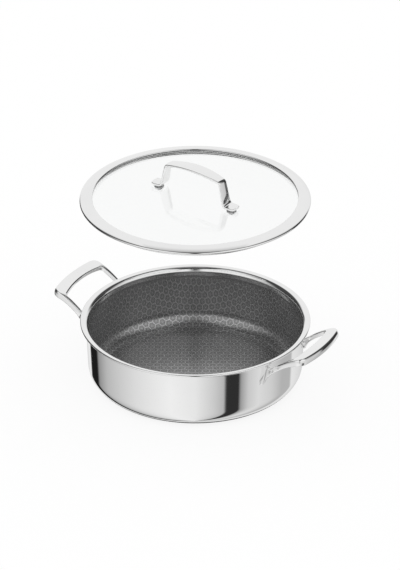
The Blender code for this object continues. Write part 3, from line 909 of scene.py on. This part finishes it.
def rim_ring():
    """The ring is polished but for a band of painted shade below the bend of its inner edge."""
    bm = spun(thickened(ring_path(), SHEET), True)
    for face in bm.faces:
        middle = face.calc_center_median()
        faces_axis = math.hypot(middle.x, middle.y) < ring_inner
        if faces_axis and dark_low < middle.z < dark_high:
            # Painted shade: these faces of the inner wall get the dark steel.
            face.material_index = 1
    return to_object(bm, "rim_ring", [steel_turned, painted_shade_edge])


dress(rim_ring(), "lid", "polished_steel", "lid_rim_ring")


# %% Seal
def glass_seal():
    """Silicone channel round the edge of the glass, whose lower lip is the shorter one."""
    inside = ring_inner + SHEET / 2 + 2 * GAP
    lower_inside = inside + LEDGE_SETBACK
    web = glass_radius + GAP
    top_in, top_out = glass_top(inside) + GAP, glass_top(web) + GAP
    drop = GLASS + 2 * GAP
    lower_in = glass_top(lower_inside) + GAP - drop
    outline = [
        (inside, top_in), (inside, top_in + SEAL), (seal_outer, top_out + SEAL),
        (seal_outer, top_out - drop - SEAL), (lower_inside, lower_in - SEAL),
        (lower_inside, lower_in), (web, top_out - drop), (web, top_out),
    ]
    return to_object(spun(outline, True), "glass_seal", [pale_silicone])


dress(glass_seal(), "lid", "silicone", "lid_glass_seal")

# %% [markdown]
# ## The lid's handle
#
# The handle is a strap of thick sheet, bent four times: two feet that lie on the glass, two legs
# that lean in, and a long arched top. The strap is widest in the middle of the top and its feet
# have round corners. The path gives its centre line, and each section is a small rounded rectangle
# square to it, whose outer face is crowned.

# %% Path of the strap
STRAP = 0.0034
ARCH = 0.0062
FOOT_ROUND = 0.0040
BEND = 0.0050
GASKET = 0.0010
ARCH_STEPS = 24
TIP_STEPS = 10
PAST_BEND = 0.0010

foot_underside = 2 * GAP + GASKET
top_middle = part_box("lid_handle")[1].z - STRAP / 2


def bend_points(before, corner, after):
    """Round corner of the strap between two straight runs."""
    corner = Vector(corner)
    into, out = (Vector(before) - corner).normalized(), (Vector(after) - corner).normalized()
    half = into.angle(out) / 2
    centre = corner + (into + out).normalized() * BEND / math.sin(half)
    spoke = corner + into * BEND / math.tan(half) - centre
    sweep = (math.pi - 2 * half) * (1 if into.cross(out) < 0 else -1)
    turns = [Matrix.Rotation(sweep * i / BEND_STEPS, 2) for i in range(BEND_STEPS + 1)]
    return [tuple(centre + turn @ spoke) for turn in turns]


def strap_path():
    """Centre line in the XZ plane, from one foot's tip to the middle of the top."""
    lift = foot_underside + STRAP / 2
    seat = Vector((screw_x + lift * math.sin(screw_tilt),
                   glass_top(screw_x) + lift * math.cos(screw_tilt)))

    def foot_at(x):
        return x, seat.y - (x - seat.x) * math.tan(screw_tilt)

    path = []
    for i in range(TIP_STEPS + 1):
        inset = FOOT_ROUND * (1 - math.cos(math.pi / 2 * i / TIP_STEPS))
        path.append(foot_at(foot_end - inset))
    arch = []
    for i in range(ARCH_STEPS + 1):
        out = 1 - i / ARCH_STEPS
        arch.append((STRAP_SPAN * out, top_middle - ARCH * out**2))
    heel, shoulder = foot_at(heel_x), (STRAP_SPAN, top_middle - ARCH)
    path += bend_points(path[0], heel, shoulder)
    bend = bend_points(heel, shoulder, arch[1])
    return path + bend + [point for point in arch if point[0] < bend[-1][0] - PAST_BEND]


print("strap's centre line has", len(strap_path()), "points a side")

# %% Strap
STRAP_EDGE = 0.0006
STRAP_EDGE_STEPS = 3
STRAP_CROWN = 0.0007
CROWN_STEPS = 10
TOP_WIDTH = 0.0190
SHOULDER_WIDTH = 0.0140
FOOT_BREADTH = 0.0170
STEEL_OVER_SCREW = 0.0006
SCREW_TIP_HOLE = foot_underside + STRAP - STEEL_OVER_SCREW


def strap_width(x):
    """Width of the strap at a distance from its middle."""
    if x < STRAP_SPAN:
        return SHOULDER_WIDTH + (TOP_WIDTH - SHOULDER_WIDTH) * (1 - (x / STRAP_SPAN) ** 2)
    share = min((x - STRAP_SPAN) / LEG_SPLAY, 1.0)
    width = SHOULDER_WIDTH + (FOOT_BREADTH - SHOULDER_WIDTH) * share
    past = max(x - (foot_end - FOOT_ROUND), 0.0)
    return width - 2 * (FOOT_ROUND - math.sqrt(max(FOOT_ROUND**2 - past**2, 0.0)))


def strap_section(centre, normal, width):
    """Rounded rectangle across Y, with its thickness along the normal and a crowned outer face."""
    half, thick = width / 2 - STRAP_EDGE, STRAP / 2 - STRAP_EDGE
    ring = []
    for quarter, (side, up) in enumerate(((1, 1), (-1, 1), (-1, -1), (1, -1))):
        for i in range(STRAP_EDGE_STEPS + 1):
            angle = math.pi / 2 * (quarter + i / STRAP_EDGE_STEPS)
            ring.append((side * half + STRAP_EDGE * math.cos(angle),
                         up * thick + STRAP_EDGE * math.sin(angle)))
        if quarter == 0:
            for i in range(1, CROWN_STEPS):
                ring.append((half * (1 - 2 * i / CROWN_STEPS), thick + STRAP_EDGE))
    section = []
    for y, lift in ring:
        crown = STRAP_CROWN * (y / (width / 2)) ** 2 if lift > 0 else 0.0
        place = centre + normal * (lift - crown)
        section.append((place.x, y, place.y))
    return section


def strap_handle():
    path = [Vector(point) for point in strap_path()]
    path += [Vector((-point.x, point.y)) for point in path[-2::-1]]
    rings = []
    for i, point in enumerate(path):
        ahead = path[min(i + 1, len(path) - 1)] - path[max(i - 1, 0)]
        normal = Vector((ahead.y, -ahead.x)).normalized()
        rings.append(strap_section(point, normal, strap_width(abs(point.x))))
    bm = lofted(rings)
    bmesh.ops.transform(bm, matrix=lid_turn, verts=bm.verts)
    return to_object(bm, "strap_handle", [steel_formed])


pins = [pin_at(on_glass(side), SCREW + GAP, -STRAP, SCREW_TIP_HOLE) for side in (-1, 1)]
dress(drilled(strap_handle(), pins), "lid", "polished_steel", "lid_handle")

# %% [markdown]
# ## Screws, washers and gaskets
#
# From below, a pan-head screw with a cross recess runs through a washer, a gasket, the glass and a
# second gasket into each foot. They are all turned about the screw's axis and then leaned onto the
# glass. The recess is cut by two crossed bars. The thread shows only inside the foot's blind hole,
# so plain ribs at the right pitch stand for it.

# %% Screws
SCREW_HEAD = 0.0044
HEAD_SIDE = 0.0008
HEAD_CROWN = 0.0016
HEAD_STEPS = 8
RECESS_BAR = (0.0036, 0.0008, 0.0022, 1.0)
SMALL_STEPS = 64
THREAD_PITCH = 0.0007
THREAD_DEPTH = 0.00018


def leaned(bm, name, side, material):
    """Stands a small turned piece on the glass, on one side."""
    bmesh.ops.transform(bm, matrix=on_glass(side), verts=bm.verts)
    return to_object(bm, name, [material])


def cross_recess(side, head):
    """Two crossed bars that cut the recess out of the screw's head."""
    bars = []
    for turn in (0.0, math.pi / 2):
        bm = bmesh.new()
        place = on_glass(side) @ Matrix.Translation((0, 0, head - HEAD_SIDE - HEAD_CROWN))
        shape = place @ Matrix.Rotation(turn, 4, "Z") @ Matrix.Diagonal(RECESS_BAR)
        bmesh.ops.create_cube(bm, size=1.0, matrix=shape)
        bars.append(to_object(bm, "bar", []))
    return bars


def screw(name, side, head):
    """Screw whose head's underside is at a height below the glass's upper face."""
    tip = SCREW_TIP_HOLE - GAP
    core_radius = SCREW - THREAD_DEPTH
    outline = [(0.0, tip), (core_radius, tip)]
    for i in range(int((tip - foot_underside) / THREAD_PITCH)):
        height = tip - THREAD_PITCH * i
        outline += [(core_radius, height - THREAD_PITCH / 4), (SCREW, height - THREAD_PITCH / 2)]
    outline += [(core_radius, foot_underside), (SCREW, foot_underside - THREAD_DEPTH)]
    outline += [(SCREW, head), (SCREW_HEAD, head)]
    for i in range(HEAD_STEPS + 1):
        angle = math.pi / 2 * i / HEAD_STEPS
        drop = HEAD_SIDE + HEAD_CROWN * math.sin(angle)
        outline.append((SCREW_HEAD * math.cos(angle), head - drop))
    piece = leaned(spun(outline, False, SMALL_STEPS), name, side, screw_steel)
    return drilled(piece, cross_recess(side, head))


print("thread of", THREAD_PITCH * 1000, "mm pitch")

# %% Fasteners on both sides
WASHER = 0.0058
WASHER_SHEET = 0.0008
WASHER_SOFT = 0.0002
GASKET_RADIUS = 0.0066
GASKET_SOFT = 0.0003


def sleeve(name, side, radius, bottom, top, soft, material):
    """Flat ring with a bore for the screw and softened outer edges."""
    bore = SCREW + BORE_CLEARANCE
    outline = [(bore, bottom), (bore, top), (radius - soft, top)]
    outline += arc((radius - soft, top - soft), soft, math.pi / 2, 0, steps=3)[1:]
    outline += arc((radius - soft, bottom + soft), soft, 0, -math.pi / 2, steps=3)
    return leaned(spun(outline, True, SMALL_STEPS), name, side, material)


def gasket(name, side, bottom):
    return sleeve(name, side, GASKET_RADIUS, bottom, bottom + GASKET, GASKET_SOFT, pale_silicone)


lower_gasket = -GLASS - GAP - GASKET
washer_top = lower_gasket - GAP
screw_head = washer_top - WASHER_SHEET - GAP
for side, word in ((-1, "left"), (1, "right")):
    dress(gasket(f"gasket_top_{word}", side, GAP), "lid", "silicone", f"lid_upper_gasket_{word}")
    dress(gasket(f"gasket_base_{word}", side, lower_gasket), "lid", "silicone",
          f"lid_lower_gasket_{word}")
    washer = sleeve(f"washer_{word}", side, WASHER, washer_top - WASHER_SHEET, washer_top,
                    WASHER_SOFT, screw_steel)
    dress(washer, "lid", "fastener_steel", f"lid_washer_{word}")
    dress(screw(f"screw_{word}", side, screw_head), "lid", "fastener_steel", f"lid_screw_{word}")

# %% [markdown]
# ## The table
#
# The pot stands on a white table that runs on into a white background. For the camera, and for what
# shows through the glass, most of the table's white is its own, and the rest is lit, so that the
# pot's soft shadow stays. Mirrors see the studio round the table and not the table itself.

# %% Floor
FLOOR_HALF = 30.0
OWN_WHITE = 0.86


def make_floor():
    bm = bmesh.new()
    bmesh.ops.create_grid(bm, x_segments=1, y_segments=1, size=FLOOR_HALF)
    floor = to_object(bm, "floor", [])
    material = bpy.data.materials.new("white_table")
    material.use_nodes = True
    tree = material.node_tree
    tree.nodes.clear()
    rays = add_node(tree, "LightPath").outputs
    seen = math_node(tree, "MAXIMUM", rays["Is Camera Ray"], rays["Is Transmission Ray"])
    share = math_node(tree, "MULTIPLY", seen, OWN_WHITE)
    lit = add_node(tree, "BsdfDiffuse", {"Color": grey(1.0)})
    own = add_node(tree, "Emission", {"Color": grey(1.0), "Strength": 1.0})
    mixed = add_node(tree, "MixShader", {0: share, 1: lit.outputs[0], 2: own.outputs[0]})
    add_node(tree, "OutputMaterial", {"Surface": mixed.outputs[0]})
    floor.data.materials.append(material)
    floor.visible_glossy = False
    return floor


print(make_floor().name, 2 * FLOOR_HALF, "m wide")

# %% [markdown]
# Close to the pot the table is dark, because the pot keeps the light off it. The polished round
# corner of the base shows that as a thin dark line along its foot. A dark disc stands for it, which
# only mirrors see.

# %% Dark contact under the pot
CONTACT_RADIUS = 0.1305


def make_contact():
    bm = bmesh.new()
    place = Matrix.Translation((0, 0, GAP / 3))
    bmesh.ops.create_circle(bm, cap_ends=True, segments=TURN_STEPS, radius=CONTACT_RADIUS,
                            matrix=place)
    dark = mottled("contact_dark", grey(0.01), grey(0.03), 20.0, Roughness=1.0)
    contact = to_object(bm, "contact", [dark])
    for ray in ("camera", "diffuse", "transmission", "shadow"):
        setattr(contact, f"visible_{ray}", False)
    return contact


print(make_contact().name, 2 * CONTACT_RADIUS, "m wide")

# %% [markdown]
# ## The studio's light
#
# A polished pot shows little but the studio round it, so the light is drawn as a whole sphere. Its
# directions are turned so that X is the picture's right, Y is away from the camera and Z is up.
# Cameras and glass see plain white, matt surfaces get even white light, and mirrors see the
# studio. It has three rows of panels: at the table's height, at the horizon and above it. The back
# is one tall light screen, the camera's side is a wide soft box, and the panels at both sides are
# dark. A narrow dark slot parts the soft box in the middle. It runs up from above the horizon to
# just past the place overhead, where it is widest.

# %% Studio panels
# Direction round the pot, in degrees from the camera towards the right, and the panel's brightness.
TABLE_PANELS = (
    (-180, 0.62), (-152, 0.90), (-149, 0.012), (-131, 0.012), (-127, 0.30), (-110, 0.53),
    (-68, 0.78), (-27, 0.94), (0, 0.87), (20, 0.655), (31, 0.50), (34, 0.03), (48, 0.03),
    (51, 0.36), (60, 0.64), (73, 0.77), (92, 0.66), (108, 0.49), (124, 0.49), (128, 0.84),
    (180, 0.62),
)
HORIZON_PANELS = (
    (-180, 0.90), (-157, 0.90), (-150, 0.05), (-100, 0.04), (-75, 0.50), (-55, 0.80), (-12, 0.80),
    (0, 0.35), (12, 0.80), (85, 0.70), (103, 0.60), (107, 0.03), (130, 0.03), (142, 0.80),
    (180, 0.90),
)
UPPER_PANELS = (
    (-180, 0.90), (-148, 0.90), (-136, 0.06), (-95, 0.06), (-80, 0.60), (-60, 0.90), (75, 0.90),
    (92, 0.50), (104, 0.06), (136, 0.06), (148, 0.90), (180, 0.90),
)


def panel_row(tree, share, panels):
    """Brightness of one row of panels, by the direction round the pot."""
    ramp = add_node(tree, "ValToRGB", {"Fac": share})
    stops = ramp.color_ramp.elements
    for i, (degrees, level) in enumerate(panels):
        stop = stops[i] if i < 2 else stops.new(degrees / 360 + 0.5)
        stop.position = degrees / 360 + 0.5
        stop.color = grey(level)
    return ramp.outputs["Color"]


print("panels", len(TABLE_PANELS) + len(HORIZON_PANELS) + len(UPPER_PANELS))

# %% Studio sphere
# Each pair is where a smooth step starts and ends, as a coordinate on a sphere of radius 1.
HORIZON_STARTS = (-0.30, -0.16)
UPPER_STARTS = (0.15, 0.35)
SLOT_WIDENS = (0.70, 0.97)
SLOT_EDGE = (0.015, 0.12)
SLOT_FAR_END = (-0.05, 0.62)
SLOT_LOW_END = (0.40, 0.20)
SLOT_WIDER = 0.19
SLOT_LEVEL = 0.04


def outside_slot(tree, x, y, z):
    """How far a direction is out of the dark slot, from 0 inside it to 1 in the open studio."""
    wider = ramp_between(tree, z, *SLOT_WIDENS, 0.0, SLOT_WIDER)
    aside = math_node(tree, "SUBTRACT", math_node(tree, "ABSOLUTE", x), wider)
    beside = ramp_between(tree, aside, *SLOT_EDGE)
    beyond = ramp_between(tree, y, *SLOT_FAR_END)
    below = ramp_between(tree, z, *SLOT_LOW_END)
    return math_node(tree, "MAXIMUM", math_node(tree, "MAXIMUM", beside, beyond), below)


def studio_level(tree, x, y, z):
    """Brightness of a direction: the rows run into each other with height."""
    towards_camera = math_node(tree, "MULTIPLY", y, -1.0)
    turn = math_node(tree, "ARCTAN2", x, towards_camera)
    share = math_node(tree, "MULTIPLY_ADD", turn, 1 / math.tau, 0.5)
    level = panel_row(tree, share, TABLE_PANELS)
    for panels, starts in ((HORIZON_PANELS, HORIZON_STARTS), (UPPER_PANELS, UPPER_STARTS)):
        rise = ramp_between(tree, z, *starts)
        level = mixed_color(tree, rise, level, panel_row(tree, share, panels))
    return mixed_color(tree, outside_slot(tree, x, y, z), grey(SLOT_LEVEL), level)


def make_studio():
    world = bpy.data.worlds.new("studio")
    bpy.context.scene.world = world
    world.use_nodes = True
    tree = world.node_tree
    tree.nodes.clear()
    around = add_node(tree, "TexCoord").outputs["Generated"]
    turned = add_node(tree, "VectorRotate", {"Vector": around, "Angle": -VIEW_AZIMUTH},
                      rotation_type="Z_AXIS")
    x, y, z = add_node(tree, "SeparateXYZ", {0: turned.outputs[0]}).outputs
    is_glossy = add_node(tree, "LightPath").outputs["Is Glossy Ray"]
    level = mixed_color(tree, is_glossy, grey(1.0), studio_level(tree, x, y, z))
    sky = add_node(tree, "Background", {"Color": level, "Strength": 1.0})
    add_node(tree, "OutputWorld", {"Surface": sky.outputs[0]})
    return world


print("light", make_studio().name)
